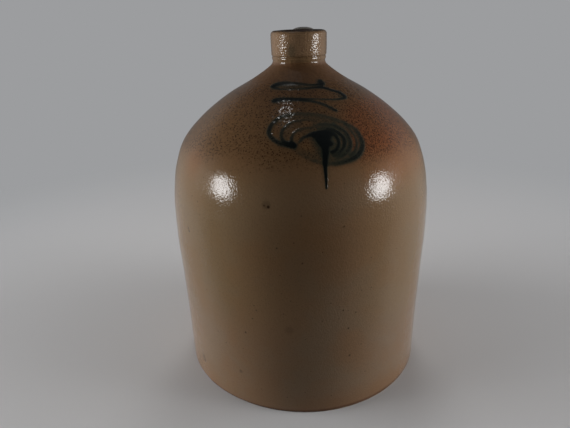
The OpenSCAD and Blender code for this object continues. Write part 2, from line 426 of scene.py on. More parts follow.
ROOT_Z = JUG_H - ROOT_DROP
CREST_Y = COLLAR_R + CREST_RUN
CREST_Z = JUG_H + CREST_RISE - STRAP_T / 2
STRAP_FOOT_Z = 0.865 * FLARE_Z
STRAP_FOOT_Y = float(side(STRAP_FOOT_Z)[0])
ROOT_LINE = np.array([
    [COLLAR_R, ROOT_Z],
    [COLLAR_R + 0.42 * CREST_RUN, ROOT_Z + 0.62 * (CREST_Z - ROOT_Z)],
    [CREST_Y - 0.55 * CREST_RUN, CREST_Z],
    [CREST_Y, CREST_Z],
])
FOOT_LINE = np.array([
    [CREST_Y, CREST_Z],
    [CREST_Y + 0.62 * (STRAP_FOOT_Y + BOW_OUT - CREST_Y), CREST_Z],
    [STRAP_FOOT_Y + BOW_OUT, STRAP_FOOT_Z + 0.62 * (CREST_Z - STRAP_FOOT_Z)],
    [STRAP_FOOT_Y, STRAP_FOOT_Z],
])
ROOT_RINGS = 10
FOOT_RINGS = 26
ROOT_OWN = 4
FOOT_OWN = 7
GROOVE_RUN = 8
STRAP_SIDES = 56
STRAP_SQUARENESS = 0.86
GROOVE_HALF = 0.55
STRAP_SWAY = 1.2
WIPE_DEPTH = 0.12
ROOT_SUNK = 0.35
# How far past the root and the foot their lines run into the clay
ROOT_REACH = range(2, 11, 2)
FOOT_REACH = range(3, 19, 3)
# Lowest height and rounds of the search for the shoulder under a point, rings of a seated line
SEAT_LOW = 180
SEAT_ROUNDS = 12
LINE_RINGS = 16
# Skirt wiped on to the clay: its width and its fillet at the root and at the foot, then how far
# out and how high it goes, in shares of these
ROOT_SKIRT = (2.6, 1.5)
FOOT_SKIRT = (5.0, 2.4)
SKIRT = ((0.10, 0.72), (0.30, 0.44), (0.58, 0.2), (0.86, 0.05), (1.0, -0.06))
# Dent that a thumb left in the handle's foot
THUMB_AT = np.array([2.0, STRAP_FOOT_Y + 16.5, STRAP_FOOT_Z + 1.5])
THUMB_REACH = np.array([8.5, 9.0, 9.0])
THUMB_DEPTH = 2.6
THUMB_IN, THUMB_UP = 0.92, 0.2


def strap_rings(line, shares, widths, thicknesses, depths):
    """Rings of the strap as an array (rings, sides, 3), with its groove as deep as depths."""
    centre, way = bezier(line, shares)
    angle = np.linspace(0, 2 * np.pi, STRAP_SIDES, endpoint=False)
    cos_a, sin_a = np.cos(angle), np.sin(angle)
    across = np.sign(cos_a) * np.abs(cos_a) ** STRAP_SQUARENESS
    rise = np.sign(sin_a) * np.abs(sin_a) ** STRAP_SQUARENESS
    bowl = (1 + np.cos(np.pi * across / GROOVE_HALF)) / 2
    groove = np.where((np.abs(across) < GROOVE_HALF) & (sin_a > 0), bowl, 0)
    steps = np.linalg.norm(np.diff(centre, axis=0), axis=1)
    travel = np.cumsum(np.append(0, steps))[:, None]
    wiped = WIPE_DEPTH * np.sin(across * 23 + 0.8 * np.sin(travel * 0.05)) * (np.abs(across) < 0.93)
    out = thicknesses[:, None] / 2 * rise - depths[:, None] * groove - np.abs(wiped) * np.sign(rise)
    out_y, out_z = centre[:, :1], centre[:, 1:]
    sway = STRAP_SWAY * smooth(COLLAR_R + 2, CREST_Y - 4, out_y)
    x = widths[:, None] / 2 * across + lean(out_z) + sway * smooth(STRAP_FOOT_Z, ROOT_Z, out_z)
    return np.stack([x, out_y - way[:, 1:] * out, out_z + way[:, :1] * out], -1)


def root_rings(index):
    """Rings between the collar and the crest, at ring numbers as in the CAD source."""
    own = np.clip(1 - index / ROOT_OWN, 0, 1) ** 2
    widths = STRAP_W + (ROOT_W - STRAP_W) * own
    thick = STRAP_T + (ROOT_T - STRAP_T) * own
    return strap_rings(ROOT_LINE, index / ROOT_RINGS, widths, thick, np.zeros(len(index)))


def foot_rings(index):
    """Rings between the crest and the shoulder, in the same way."""
    own = np.clip(1 - (FOOT_RINGS - index) / FOOT_OWN, 0, 1) ** 2
    plain = STRAP_W + (STRAP_FOOT_W - STRAP_W) * index / FOOT_RINGS
    widths = plain + (FOOT_W - plain) * own
    thick = STRAP_T + (FOOT_T - STRAP_T) * own
    depths = STRAP_GROOVE * (1 - own) * np.clip(index / GROOVE_RUN, 0, 1)
    return strap_rings(FOOT_LINE, index / FOOT_RINGS, widths, thick, depths)


def tube(name, rings):
    """Closed skin over rings, with a fan at each end."""
    count, sides = rings.shape[:2]
    points = np.concatenate([rings.reshape(-1, 3), [rings[0].mean(0), rings[-1].mean(0)]])
    faces = band_faces(count, sides)
    first = count * sides
    for k in range(sides):
        n = (k + 1) % sides
        faces.append((first, k, n))
        faces.append((first + 1, (count - 1) * sides + n, (count - 1) * sides + k))
    return make_object(name, points, faces)


def above_shoulder(points):
    """How far points stand off the shoulder, square to it, and the outward direction there."""
    radius = np.hypot(points[..., 0] - lean(points[..., 2]), points[..., 1])
    z = np.minimum(points[..., 2], FLARE_Z - 0.1)
    for _ in range(SEAT_ROUNDS):
        r, slope = side(z)
        gap = (radius - r) * slope + (points[..., 2] - z)
        z = np.clip(z + 0.5 * gap / (1 + slope**2), SEAT_LOW, FLARE_Z - 0.1)
    nr, nz = side_normal(z)
    unit = points[..., :2] / np.maximum(radius, 1e-6)[..., None]
    normal = np.stack([unit[..., 0] * nr, unit[..., 1] * nr, nz], -1)
    return (radius - side(z)[0]) * nr + (points[..., 2] - z) * nz, normal


def above_collar(points):
    """How far points stand off the collar's wall, and the outward direction there."""
    x, y = points[..., 0] - lean(points[..., 2]), points[..., 1]
    radius = np.hypot(x, y)
    size = np.maximum(radius, 1e-6)
    return radius - COLLAR_R + ROOT_SUNK, np.stack([x / size, y / size, np.zeros_like(x)], -1)


def seated(rings, reach, height_of, skirt, fillet):
    """Rings whose lines run down on to a surface and end in a thin wiped skirt on it.

    rings go from the free end towards the surface, and run on into it as far as reach says.
    """
    way = (rings[-1] - rings[-2]).mean(0)
    way /= np.linalg.norm(way)
    rings = np.concatenate([rings, np.stack([rings[-1] + way * d for d in reach])])
    height, _ = height_of(rings)
    count, sides = height.shape
    lines = []
    for k in range(sides):
        below = np.nonzero(height[:, k] < fillet)[0]
        end = int(below[0]) if len(below) else count - 1
        start = max(end - 1, 0)
        h0, h1 = height[start, k], height[end, k]
        share = 0 if h0 == h1 else np.clip((h0 - fillet) / (h0 - h1), 0, 1)
        steps = np.linspace(0, start + share, LINE_RINGS)
        line = [np.interp(steps, np.arange(count), rings[:, k, axis]) for axis in range(3)]
        lines.append(np.stack(line, -1))
    shaped = np.stack(lines, 1)
    last = shaped[-1]
    lift, normal = height_of(last)
    foot = last - normal * lift[:, None]
    spread = foot - last.mean(0)
    spread -= normal * (spread * normal).sum(1)[:, None]
    spread /= np.linalg.norm(spread, axis=1)[:, None]
    added = []
    for out, rise in SKIRT:
        point = foot + spread * (skirt * out)
        gap, up = height_of(point)
        added.append(point - up * (gap - fillet * rise)[:, None])
    return np.concatenate([shaped, np.stack(added)])


def build_strap():
    """The pulled strap between its two ends."""
    root = root_rings(np.linspace(ROOT_OWN - 0.3, ROOT_RINGS, 22))
    foot = foot_rings(np.linspace(0, FOOT_RINGS - FOOT_OWN + 0.3, 60)[1:])
    return tube("strap_skin", np.concatenate([root, foot]))


def build_root():
    """End of the strap wiped on to the back of the collar."""
    rings = root_rings(np.linspace(ROOT_OWN, 0, 18))
    return tube("root_skin", seated(rings, ROOT_REACH, above_collar, *ROOT_SKIRT))


def build_foot():
    """End of the strap pressed on to the shoulder with a thumb."""
    rings = foot_rings(np.linspace(FOOT_RINGS - FOOT_OWN, FOOT_RINGS, 30))
    shaped = seated(rings, FOOT_REACH, above_shoulder, *FOOT_SKIRT)
    away = np.linalg.norm((shaped - THUMB_AT) / THUMB_REACH, axis=-1)
    push = THUMB_DEPTH * np.exp(-(away**2))
    shaped[..., 1] -= push * THUMB_IN
    shaped[..., 2] += push * THUMB_UP
    return tube("foot_skin", shaped)


# ---- trailed slip ----

# Each stroke is a row of (azimuth, height, half width, strength)
NUMERAL = [
    [(30.7, 266.3, 2.1, 1), (30.1, 265.2, 2.8, 1), (29.2, 264.2, 2, 1)],
    [(29.4, 264.5, 1.4, 1), (17.5, 264.5, 1.2, 0.8), (9, 265.2, 1.3, 0.75),
     (-3.2, 265.8, 1.6, 0.85), (-14.2, 265.8, 2.1, 0.95), (-22, 264.9, 2.5, 1), (-25, 263.8, 2, 1)],
    [(-23.4, 263, 1.6, 0.85), (-17.1, 262.3, 1.3, 0.6), (-5, 262.4, 1.2, 0.5),
     (8.4, 262.5, 1.2, 0.62), (21.7, 262.8, 1.5, 0.9), (29.5, 262.2, 1.5, 0.95),
     (35.7, 260.3, 1.4, 0.95), (41.3, 258.4, 1.6, 1), (42.9, 256.6, 1.8, 1),
     (42.8, 255.4, 1.7, 0.95), (40.6, 254.7, 1.4, 0.8), (32.1, 254.6, 1.1, 0.62),
     (22.5, 255.5, 1, 0.55), (14.4, 256.1, 1.1, 0.62), (1.9, 256.3, 1.7, 0.95),
     (-7.5, 256.3, 2.1, 1), (-13.8, 255.6, 2.4, 1), (-15.2, 255.3, 2, 1)],
    [(2, 256, 1.4, 0.7), (9, 255.4, 1.4, 0.7), (15, 254.5, 1.4, 0.66), (20, 253.1, 1.5, 0.66),
     (24, 251.1, 1.5, 0.68), (28, 248.2, 1.5, 0.8)],
]
SCROLL = [
    [(1.2, 229, 2.5, 0.95), (-1.6, 229.5, 2.1, 0.85), (-5, 230.5, 1.9, 0.75),
     (-8.5, 232.5, 1.7, 0.7), (-11.4, 235.8, 1.7, 0.72), (-11.9, 239.4, 1.7, 0.75),
     (-10.6, 242.8, 1.6, 0.7), (-7.6, 245.7, 1.7, 0.58), (-2.7, 247.2, 1.8, 0.45),
     (4.4, 247.9, 1.9, 0.36), (13.2, 247, 1.9, 0.32), (20.3, 245.1, 1.9, 0.34),
     (26.4, 242.5, 1.9, 0.38), (32.1, 238.3, 1.8, 0.48), (34.2, 234.3, 1.9, 0.6),
     (34, 228.3, 1.9, 0.68), (32.4, 224.2, 1.9, 0.74), (29.2, 220.6, 2, 0.76),
     (26.4, 218.9, 2, 0.74), (23.2, 217.9, 1.9, 0.66), (18.9, 217, 1.8, 0.55),
     (15.9, 217.3, 1.7, 0.42), (11.1, 218.8, 1.6, 0.34), (6, 222.2, 1.4, 0.28),
     (3, 225, 1.2, 0.22)],
    [(1.2, 229.3, 1.6, 0.8), (-3.4, 231.8, 1.3, 0.7), (-5, 234.7, 1.3, 0.62),
     (-4.9, 237.7, 1.3, 0.62), (-3.2, 240.7, 1.2, 0.56), (0, 242.9, 1.2, 0.5),
     (4.3, 243.8, 1.2, 0.42), (8.8, 244, 1.2, 0.38), (13.5, 243, 1.2, 0.3)],
    [(1, 229.7, 1.6, 0.85), (0.1, 232.2, 1.4, 0.7), (0.6, 235.2, 1.3, 0.55),
     (2.7, 237.8, 1.3, 0.42), (6.2, 239.1, 1.3, 0.38), (10.8, 239.6, 1.3, 0.34)],
    [(3.8, 231, 1.2, 0.45), (5.5, 233.4, 1.4, 0.62), (8.3, 234.8, 1.5, 0.75),
     (11.5, 236.1, 1.7, 0.9)],
    [(29.6, 239.9, 1.1, 0.35), (30.6, 237, 1.1, 0.42), (31.2, 233.4, 1.1, 0.5),
     (31.3, 230, 1.1, 0.52), (30.4, 226.5, 1.1, 0.58), (28.3, 223.1, 1.1, 0.6),
     (25.6, 221.2, 1.1, 0.6)],
    [(12.5, 240.6, 1.4, 0.35), (16.5, 241, 1.6, 0.48), (21.5, 240.1, 1.7, 0.55),
     (24.9, 238.1, 1.7, 0.62), (27.5, 234.8, 1.7, 0.64), (28, 230.8, 1.7, 0.66),
     (27.4, 227.3, 1.7, 0.66), (25.3, 224, 1.7, 0.66), (23.4, 222.2, 1.6, 0.62),
     (20, 220.5, 1.6, 0.55)],
    [(13.6, 238.4, 1.2, 0.4), (18, 238.5, 1.5, 0.62), (21.6, 237, 1.7, 0.75), (24, 234.5, 1.7, 0.8),
     (25.3, 231.8, 1.6, 0.8), (24.9, 228.7, 1.6, 0.78), (23.2, 225.6, 1.6, 0.72),
     (20.7, 223.3, 1.5, 0.66), (18.5, 222.1, 1.4, 0.6)],
    [(13.2, 236.4, 1.4, 0.85), (18.2, 236.4, 1.8, 0.95), (21.3, 234.2, 1.6, 0.85),
     (22.3, 231.4, 1.4, 0.82), (22, 228.6, 1.4, 0.82), (20.3, 225.7, 1.4, 0.82),
     (18, 224.1, 1.5, 0.85)],
    [(11, 234.2, 1.9, 0.85), (14.5, 234.9, 2.6, 1), (18.2, 234, 2.8, 0.95)],
    [(12.9, 232.2, 2.8, 0.9), (15.8, 230.9, 3.8, 1), (18.1, 229.4, 2.8, 0.9)],
    [(14.6, 230, 3.3, 1), (15.2, 227.4, 3.2, 1), (15.1, 225, 3, 1), (14.7, 222, 2.5, 1),
     (14.3, 219.1, 2, 1), (14, 215.8, 1.5, 1), (13.9, 209.9, 1.1, 1), (13.8, 205.2, 0.9, 0.95),
     (13.7, 201.6, 0.75, 0.85)],
]
# Thin watery slip that a wide brush left between the strokes
WASH = [
    [(-20, 264.3, 2.2, 0.75), (-9.7, 264.2, 2.4, 0.85), (1.1, 264.1, 2.4, 0.8),
     (11.3, 263.8, 2, 0.7), (22.6, 263.7, 1.5, 0.5)],
    [(33.6, 257.4, 2.2, 0.3), (39, 256.5, 2.2, 0.55)],
    [(-10.6, 240.8, 2.4, 0.45), (-6.2, 245, 2.6, 0.5), (0.2, 246.2, 2.8, 0.6),
     (10.1, 246.3, 3.2, 0.65), (17.6, 244.9, 3.6, 0.72), (23, 242.6, 3.8, 0.75)],
    [(24.6, 241.3, 3.9, 0.75), (28.6, 238.4, 3.9, 0.75), (32.6, 233.4, 3.1, 0.7),
     (32.9, 228, 3.1, 0.75), (30.6, 222.6, 3.5, 0.85), (26.6, 220, 3.6, 0.9),
     (21.6, 218.8, 3.4, 0.9), (15, 218.8, 2.8, 0.7)],
    [(12.7, 241.4, 3, 0.5), (20.6, 239.6, 3.9, 0.8), (25, 235.8, 4.2, 0.92),
     (26.6, 230.9, 4.2, 0.95), (25.4, 226, 4.3, 0.95), (22.2, 222.4, 4.2, 0.95),
     (18.2, 220.4, 3.6, 0.95)],
    [(11.5, 232.7, 4.6, 0.85), (13.2, 227.9, 4.8, 0.95), (14.6, 223.4, 4.2, 0.95),
     (18.9, 226, 5, 1), (20.7, 231.2, 5, 0.95)],
    [(2.5, 226.6, 2.4, 0.35), (6.8, 224.2, 3.2, 0.5), (10.5, 221.6, 3.6, 0.7)],
    [(4.6, 238.2, 2.8, 0.4), (9, 237.6, 3, 0.55), (13.5, 238.3, 3.2, 0.65)],
    [(-4.4, 231.8, 2.2, 0.4), (-2.6, 235.5, 2.2, 0.35), (-1, 240, 2.2, 0.35), (4.5, 242, 2.4, 0.4)],
]
SAMPLE_PITCH = 0.35
SAMPLE_BATCH = 1500


def stroke_samples(stroke):
    """Points (mm), half widths and strengths along a smooth curve through a stroke's points."""
    data = np.array(stroke, float)
    ends = np.concatenate([[2 * data[0] - data[1]], data, [2 * data[-1] - data[-2]]])
    rows = []
    for i in range(1, len(ends) - 2):
        p0, p1, p2, p3 = ends[i - 1 : i + 3]
        length = np.linalg.norm(on_side(*p1[:2]) - on_side(*p2[:2]))
        for t in np.linspace(0, 1, max(2, int(length / SAMPLE_PITCH) + 1), endpoint=False):
            rows.append(
                0.5 * (2 * p1 + (p2 - p0) * t + (2 * p0 - 5 * p1 + 4 * p2 - p3) * t**2
                       + (3 * p1 - p0 - 3 * p2 + p3) * t**3)
            )
    rows.append(data[-1])
    rows = np.array(rows)
    return on_side(rows[:, 0], rows[:, 1]), np.maximum(rows[:, 2], 0.3), np.clip(rows[:, 3], 0, 1)


def stroke_field(points, strokes, inner, outer):
    """How fully strokes cover points, 0 to 1, fading from inner to outer half widths."""
    bare = np.ones(len(points))
    for stroke in strokes:
        way, half, strength = stroke_samples(stroke)
        reach = half.max() * outer + 1
        low, high = way.min(0) - reach, way.max(0) + reach
        near = np.nonzero(np.all((points > low) & (points < high), axis=1))[0]
        for part in np.array_split(near, max(1, len(near) // SAMPLE_BATCH)):
            gap = np.linalg.norm(points[part][:, None] - way, axis=2)
            best = np.argmin(gap / half, axis=1)
            distance = gap[np.arange(len(part)), best] / half[best]
            bare[part] *= 1 - strength[best] * (1 - smooth(inner, outer, distance))
    return 1 - bare


# Where slip fades out, in half widths of its stroke: thick slip, its stain in the glaze, the wash
SLIP_FADE = (0.3, 1.75)
STAIN_FADE = (0.8, 2.6)
WASH_FADE = (0.5, 1.5)
STAIN_SHARE = 0.5


def slip_stain(points):
    """Thin slip that has bled into the glaze at points, 0 to 1."""
    halo = stroke_field(points, NUMERAL + SCROLL, *STAIN_FADE)
    return 1 - (1 - STAIN_SHARE * halo) * (1 - stroke_field(points, WASH, *WASH_FADE))


def set_values(obj, name, values):
    """Stores one number per point of a mesh for its material to read."""
    attribute = obj.data.attributes.new(name, "FLOAT", "POINT")
    attribute.data.foreach_set("value", np.asarray(values, np.float32))


# Thinnest cover that makes a sheet, and the lift of its edge, of its full depth and of its back
SLIP_EDGE = 0.02
SLIP_SUNK = -0.05
SLIP_RAISED = 0.2
SLIP_BACK = -0.5


def build_slip(name, strokes, azimuths, heights):
    """Trailed slip a little proud of the shoulder, as one closed sheet on a grid over it."""
    grid_a, grid_z = np.meshgrid(np.arange(*azimuths), even_heights(*heights))
    flat_a, flat_z = grid_a.ravel(), grid_z.ravel()
    cover = stroke_field(on_side(flat_a, flat_z), strokes, *SLIP_FADE)
    point = np.arange(len(cover)).reshape(grid_a.shape)
    cells = quads(point[:-1, :-1], point[:-1, 1:], point[1:, 1:], point[1:, :-1])
    cells = [cell for cell in cells if max(cover[cell]) > SLIP_EDGE]
    used, cells = np.unique(cells, return_inverse=True)
    cells = cells.reshape(-1, 4).tolist()
    count = len(used)
    lift = SLIP_SUNK + (SLIP_RAISED - SLIP_SUNK) * cover[used] ** 0.7
    top = on_side(flat_a[used], flat_z[used], lift)
    low = on_side(flat_a[used], flat_z[used], SLIP_BACK)
    edges = {}
    for a, b, c, d in cells:
        for pair in ((a, b), (b, c), (c, d), (d, a)):
            key = (min(pair), max(pair))
            edges[key] = None if key in edges else pair
    faces = cells + [(a + count, d + count, c + count, b + count) for a, b, c, d in cells]
    faces += [(p[1], p[0], p[0] + count, p[1] + count) for p in edges.values() if p]
    obj = make_object(name, np.concatenate([top, low]), faces)
    set_values(obj, "cover", np.concatenate([cover[used], np.zeros(count)]))
    set_values(obj, "stain", np.concatenate([slip_stain(top), np.zeros(count)]))
    return obj


# ---- materials ----


def colour(*levels):
    """A display colour (0 to 255) as Blender's linear colour."""
    channels = [level / 255 for level in levels]
    return (*[c / 12.92 if c <= 0.04045 else ((c + 0.055) / 1.055) ** 2.4 for c in channels], 1.0)


class Graph:
    """A small writer of shader nodes. Values are node outputs or plain numbers."""

    def __init__(self, owner, coordinates="Object", scale=1 / MM):
        owner.use_nodes = True
        self.owner = owner
        self.tree = owner.node_tree
        self.tree.nodes.clear()
        place = self.new("TexCoord").outputs[coordinates]
        self.place = self.vector("MULTIPLY", place, (scale,) * 3)
        self.x, self.y, self.z = self.put(self.new("SeparateXYZ"), {0: self.place}).outputs

    def new(self, kind):
        """A new shader node."""
        return self.tree.nodes.new("ShaderNode" + kind)

    def put(self, node, inputs):
        """Links or writes values to a node's inputs, None leaving one alone; gives the node."""
        for key, value in inputs.items():
            if isinstance(value, bpy.types.NodeSocket):
                self.tree.links.new(value, node.inputs[key])
            elif value is not None:
                node.inputs[key].default_value = value
        return node

    def vector(self, kind, a, b):
        """Vector arithmetic; a distance comes out as a number."""
        node = self.new("VectorMath")
        node.operation = kind
        return self.put(node, {0: a, 1: b}).outputs["Value" if kind == "DISTANCE" else "Vector"]

    def math(self, kind, a, b=0.0):
        """Arithmetic on numbers."""
        node = self.new("Math")
        node.operation = kind
        return self.put(node, {0: a, 1: b}).outputs[0]

    def times(self, a, b):
        """Product of two numbers."""
        return self.math("MULTIPLY", a, b)

    def plus(self, a, b):
        """Sum of two numbers."""
        return self.math("ADD", a, b)

    def radius(self):
        """Distance from the jug's axis."""
        return self.math("SQRT", self.plus(self.times(self.x, self.x), self.times(self.y, self.y)))

    def step(self, value, low, high, to_low=0.0, to_high=1.0):
        """A soft step of value from low to high."""
        node = self.new("MapRange")
        node.interpolation_type = "SMOOTHSTEP"
        return self.put(node, dict(enumerate((value, low, high, to_low, to_high)))).outputs[0]

    def band(self, value, low, rise, high, fall):
        """1 between low and high, with soft sides of widths rise and fall."""
        rising = self.step(value, low - rise, low)
        return self.times(rising, self.step(value, high, high + fall, 1.0, 0.0))

    def noise(self, size, detail=2, roughness=0.5, stretch=(1, 1, 1), shift=0.0, distortion=0.0):
        """Noise whose lumps are about size mm wide."""
        scaled = self.vector("MULTIPLY", self.place, tuple(s / size for s in stretch))
        scaled = self.vector("ADD", scaled, (shift, shift * 0.7, shift * 1.3))
        node = self.put(self.new("TexNoise"), {
            "Vector": scaled, "Scale": 1.0, "Detail": detail, "Roughness": roughness,
            "Distortion": distortion,
        })
        return node.outputs["Fac"]

    def cells(self, size, shift=0.0):
        """Distance to the middle of cells about size mm wide, in widths, and a number for each."""
        scaled = self.vector("MULTIPLY", self.place, (1 / size,) * 3)
        scaled = self.vector("ADD", scaled, (shift, shift * 1.7, shift * 0.6))
        node = self.put(self.new("TexVoronoi"), {"Vector": scaled, "Scale": 1.0})
        tint = self.put(self.new("SeparateColor"), {0: node.outputs["Color"]})
        return node.outputs["Distance"], tint.outputs[0]

    def dots(self, size, inner, outer, rare, common, shift=0.0):
        """Dots in some cells, soft from inner to outer; rare and common say how few have one."""
        near, pick = self.cells(size, shift)
        return self.times(self.step(near, inner, outer, 1.0, 0.0), self.step(pick, rare, common))

    def value(self, name):
        """A number stored on the mesh."""
        node = self.new("Attribute")
        node.attribute_name = name
        return node.outputs["Fac"]

    def mix(self, share, a, b):
        """Colour a turned towards b by share."""
        node = self.new("Mix")
        node.data_type = "RGBA"
        return self.put(node, {0: share, 6: a, 7: b}).outputs[2]

    def tinted(self, base, *tints):
        """A colour under tints in their order, each given as its place, strength and colour."""
        for share, strength, tint in tints:
            base = self.mix(self.times(share, strength), base, tint)
        return base

    def bump(self, height, distance, strength, normal=None):
        """A normal bent by height, whose full scale is distance mm."""
        inputs = {"Strength": strength, "Distance": distance * MM, "Height": height}
        return self.put(self.new("Bump"), {**inputs, "Normal": normal}).outputs["Normal"]

    def near(self, azimuth, z, radius, soft, stretch=(1, 1, 1)):
        """1 within radius mm of a place on the side or the collar, soft outside."""
        centre = around(azimuth, side(z)[0] if z < FLARE_Z else COLLAR_R, z) * stretch
        gap = self.vector("DISTANCE", self.vector("MULTIPLY", self.place, stretch), centre.tolist())
        return self.step(gap, radius, radius + soft, 1.0, 0.0)

    def surface(self, base, roughness, normal=None):
        """A surface shader."""
        inputs = {"Base Color": base, "Roughness": roughness, "Normal": normal}
        return self.put(self.new("BsdfPrincipled"), inputs).outputs["BSDF"]

    def light(self, kind, tint, strength):
        """Light of its own: Emission on a surface, Background on the world."""
        return self.put(self.new(kind), {"Color": tint, "Strength": strength}).outputs[0]

    def camera_ray(self):
        """1 where the camera looks straight at a thing."""
        return self.new("LightPath").outputs["Is Camera Ray"]

    def blend(self, share, a, b):
        """Shader a turned towards shader b by share."""
        return self.put(self.new("MixShader"), {0: share, 1: a, 2: b}).outputs[0]

    def output(self, shader, kind="OutputMaterial"):
        """Joins a shader to the output, and gives back the material or world."""
        self.put(self.new(kind), {"Surface": shader})
        return self.owner


TAN = colour(112, 88, 66)
GREY_TAN = colour(110, 91, 72)
OLIVE = colour(100, 82, 50)
COLLAR_TAN = colour(104, 82, 58)
# Painted light and shade on the collar: a paler copy of its colour for the front, a dimmer one for
# the sides and back.
COLLAR_PAINTED_LIGHT = colour(117, 93, 70)
COLLAR_PAINTED_SHADE = colour(84, 66, 48)
BROWN = colour(93, 67, 41)
DARK_BROWN = colour(72, 46, 30)
ORANGE = colour(130, 78, 42)
RUST = colour(108, 54, 30)
TOAST = colour(110, 78, 50)
GOLD = colour(116, 93, 60)
SPECK = colour(32, 20, 12)
SLIP_INK = colour(15, 19, 19)
SLIP_THIN = colour(42, 46, 38)
LINING = colour(48, 30, 20)
LINING_THIN = colour(72, 42, 24)
RAW_CLAY = colour(168, 146, 116)
RAW_STAIN = colour(128, 104, 76)
# Grey for the handle's top: partly a bloom of salt, partly a painted sheen.
SALT_BLOOM_AND_SHEEN = colour(86, 86, 76)

# Specks and pits on the side as (azimuth, height, radius, softness, how dark)
MARKS = [
    (-8.2, 189, 0.7, 1.1, 0.9), (-9.8, 189.8, 0.5, 1, 0.7), (-9, 190.4, 1.6, 3, 0.3),
    (-5.2, 158.1, 0.4, 0.7, 0.7), (4.1, 146.2, 0.4, 0.7, 0.6), (19.8, 172.9, 0.4, 0.6, 0.6),
    (20, 101.2, 0.4, 0.7, 0.7), (22.5, 82.9, 0.5, 0.8, 0.7), (25.5, 96.8, 0.4, 0.7, 0.6),
    (23.5, 55.3, 0.6, 0.9, 0.6), (-20.3, 77.3, 0.5, 0.8, 0.7), (-16.6, 92.6, 0.4, 0.7, 0.6),
    (-14.6, 101.4, 0.4, 0.7, 0.6), (-48.6, 153.8, 0.5, 1.3, 0.6), (-49.2, 156, 0.4, 1.2, 0.5),
    (-59.6, 40.6, 0.3, 0.6, 0.8), (-59.2, 38.6, 0.3, 0.6, 0.8), (-58.8, 36.8, 0.3, 0.6, 0.7),
    (-50.8, 23.4, 1, 3, 0.4), (-50.2, 20.6, 1, 3, 0.4), (-24.5, 34, 0.6, 2, 0.4),
    (-1.4, 85.7, 1.5, 3.5, 0.22), (55.5, 42, 0.5, 0.8, 0.6),
]


def glaze_colour(g):
    """Colour of the glaze from its place: tan below, brown above, toasted at the right, with
    painted shade on the front and along the foot.
    """
    cloud = g.noise(46, 3, 0.55, distortion=0.4)
    drift = g.noise(90, stretch=(1, 1, 0.45), shift=3.1)
    patchy = g.step(drift, 0.28, 0.56, 0.5, 1.0)
    olive = g.times(g.band(g.z, 120, 60, 205, 14), g.step(g.x, 60, -70))
    # Painted shade: the middle of the front is turned browner, as dark as the side lamps leave it.
    front = g.near(4, 160, 10, 58)
    shoulder = g.step(g.plus(g.z, g.times(cloud, 22)), 200, 240)
    crown = g.step(g.z, 236, 270)
    flush = g.times(g.band(g.z, 208, 26, 222, 22), g.step(g.x, 42, 80))
    flush = g.times(flush, g.step(g.y, -66, -14, 1.0, 0.15))
    rust = g.times(g.band(g.z, 226, 14, 244, 14), g.band(g.x, 52, 24, 66, 36))
    warm = g.times(g.band(g.z, 110, 60, 190, 40), g.step(g.x, 30, 100))
    ember = g.near(-49, 210, 2, 18)
    neck = g.step(g.z, BEAD_Z - 2, BEAD_Z + 1)
    low = g.times(g.step(g.z, 26, 4), g.step(drift, 0.40, 0.62, 0.1, 0.5))
    # Painted shade: the lowest few mm of the side turn dark brown where the foot meets the floor.
    foot_shade = g.step(g.z, 4.0, 1.2)
    return g.tinted(
        g.mix(g.step(cloud, 0.38, 0.66), TAN, GREY_TAN),
        (olive, 0.35, OLIVE),
        (front, 0.5, BROWN),
        (shoulder, 0.85, BROWN),
        (crown, 0.5, DARK_BROWN),
        (g.times(flush, patchy), 1.0, ORANGE),
        (g.times(rust, patchy), 0.75, RUST),
        (warm, 0.45, GOLD),
        (ember, 0.2, ORANGE),
        (neck, 0.8, COLLAR_TAN),
        (low, 1.0, TOAST),
        (foot_shade, 0.8, DARK_BROWN),
    )


def iron_specks(g):
    """Dark iron specks, dense on the shoulder and sparse elsewhere, from 0 to 1."""
    edge = g.plus(g.z, g.times(g.noise(30, shift=11.0), 30))
    dense = g.times(g.step(edge, 222, 238), g.step(g.z, 276, 256, 0.15, 1.0))
    near, pick = g.cells(1.85)
    round_dots = g.step(g.math("SUBTRACT", near, g.times(pick, 0.12)), 0.13, 0.36, 1.0, 0.0)
    mottle = g.step(g.noise(1.3, 1, shift=13.0), 0.42, 0.64)
    mottle = g.times(mottle, g.step(g.x, 5, 50, 0.36, 0.62))
    small = g.times(g.math("MAXIMUM", round_dots, mottle), g.plus(g.times(dense, 0.72), 0.13))
    large = g.times(g.dots(3.4, 0.12, 0.24, 0.4, 0.55, shift=5.3), g.times(dense, 0.65))
    loose = g.times(g.dots(7.5, 0.05, 0.10, 0.35, 0.6, shift=8.7), 0.55)
    return g.math("MAXIMUM", g.math("MAXIMUM", small, large), loose)


def speckled(g):
    """The glaze with its iron specks."""
    return g.mix(iron_specks(g), glaze_colour(g), SPECK)


# Heights between which the relief of the glaze turns from fine to broad
CROWN = (226, 250)


def glaze_relief(g, strength=1.0, calm_crown=True):
    """Orange-peel skin of the salt glaze over soft swells, broader on the crown."""
    swell = g.bump(g.noise(8, shift=9.0), 0.18, 0.5 * strength)
    coarse = g.bump(g.noise(2.0, 1, shift=2.0), 0.095, 0.6 * strength, swell)
    if not calm_crown:
        return g.bump(g.noise(1.3, 0, shift=4.4), 0.2, strength, coarse)
    calm = g.step(g.z, *CROWN, strength, 0.15 * strength)
    fine = g.bump(g.noise(1.15, 0, shift=4.4), 0.095, calm, coarse)
    broad = g.step(g.z, *CROWN, 0.0, strength)
    return g.bump(g.noise(2.9, 0, shift=6.6), 0.26, broad, fine)


def marks(g):
    """Pits and nicks in the side, from 0 to 1."""
    total = 0.0
    for azimuth, z, radius, soft, dark in MARKS:
        total = g.math("MAXIMUM", total, g.times(g.near(azimuth, z, radius, soft), dark))
    return total


